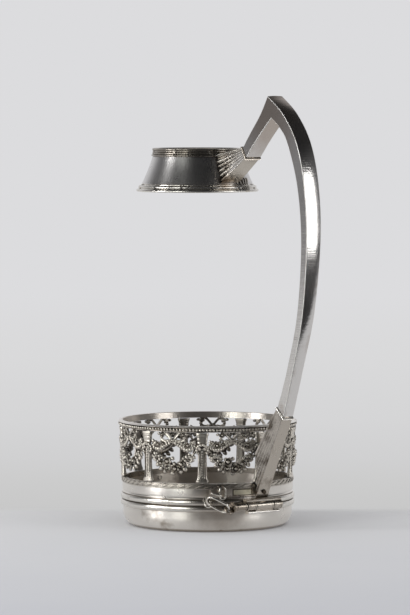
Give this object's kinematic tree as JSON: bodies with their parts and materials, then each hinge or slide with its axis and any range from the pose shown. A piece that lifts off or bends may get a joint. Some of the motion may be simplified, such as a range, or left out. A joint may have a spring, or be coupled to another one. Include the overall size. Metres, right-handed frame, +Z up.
{
  "type": "bottle holder",
  "caption": "Silver bottle holder: a round base hinged under a pierced gallery, and an arched handle that carries a neck collar.",
  "frame": {"origin": "middle of the dish's flat underside", "axes": "+Z up along the axis of the dish; the handle stands toward +X; the hinge pin draws out toward -Y"},
  "size_m": [0.1507, 0.1028, 0.2451],
  "materials": {
    "satin_silver": "silver, fine turned satin",
    "polished_silver": "silver, worn polish",
    "chased_silver": "cast and chased silver, darkened in the hollows"
  },
  "bodies": {
    "dish": {"base_dish": "satin_silver", "dish_reed": "polished_silver", "hinge_leaf": "polished_silver"},
    "frame": {"band_reed": "polished_silver", "band": "satin_silver", "leaf_strip": "chased_silver", "column_1": "chased_silver", "column_2": "chased_silver", "column_3": "chased_silver", "column_4": "chased_silver", "column_5": "chased_silver", "column_6": "chased_silver", "column_7": "chased_silver", "column_8": "chased_silver", "column_9": "chased_silver", "gallery_rim": "polished_silver", "bead_row": "polished_silver", "bow_1": "chased_silver", "bow_2": "chased_silver", "bow_3": "chased_silver", "bow_4": "chased_silver", "bow_5": "chased_silver", "bow_6": "chased_silver", "bow_7": "chased_silver", "bow_8": "chased_silver", "bow_9": "chased_silver", "swag_1": "chased_silver", "swag_2": "chased_silver", "swag_3": "chased_silver", "swag_4": "chased_silver", "swag_5": "chased_silver", "swag_6": "chased_silver", "swag_7": "chased_silver", "swag_8": "chased_silver", "swag_9": "chased_silver", "handle_bar": "polished_silver", "foot_clasp": "polished_silver", "neck_clasp": "polished_silver", "neck_collar": "satin_silver", "collar_skirt": "polished_silver", "collar_lip": "polished_silver", "neck_gusset": "satin_silver", "hinge_knuckles": "polished_silver", "catch_strap": "satin_silver", "catch_rivet": "polished_silver", "foot_gusset": "satin_silver", "foot_rivet": "polished_silver", "chain_staple": "polished_silver"},
    "pin": {"hinge_pin": "polished_silver"},
    "ring": {"chain_ring": "polished_silver"},
    "link_1": {"chain_link_1": "polished_silver"},
    "link_2": {"chain_link_2": "polished_silver"},
    "link_3": {"chain_link_3": "polished_silver"}
  },
  "joints": [
    {"name": "base_hinge", "type": "hinge", "parent": "dish", "child": "frame", "pos_m": [0.0526, 0, 0.01525], "axis": [0, 1, 0], "range_deg": [0, 70]},
    {"name": "pin_slide", "type": "slide", "parent": "frame", "child": "pin", "axis": [0, -1, 0], "range_m": [0, 0.026]},
    {"name": "ring_swing", "type": "hinge", "parent": "pin", "child": "ring", "pos_m": [0.0526, -0.02625, 0.01385], "axis": [0.6492, 0, -0.7606], "range_deg": [-40, 25]},
    {"name": "link_1_swing", "type": "hinge", "parent": "frame", "child": "link_1", "pos_m": [0.04625, -0.02377, 0.02505], "axis": [0.8894, -0.4571, 0], "range_deg": [-30, 30]},
    {"name": "link_2_swing", "type": "hinge", "parent": "link_1", "child": "link_2", "pos_m": [0.04566, -0.0253, 0.02168], "axis": [0.8894, -0.4571, 0], "range_deg": [-20, 30]},
    {"name": "link_3_swing", "type": "hinge", "parent": "ring", "child": "link_3", "pos_m": [0.04433, -0.03334, 0.01991], "axis": [-0.7364, 0.2505, -0.6285], "range_deg": [-45, 45]}
  ]
}
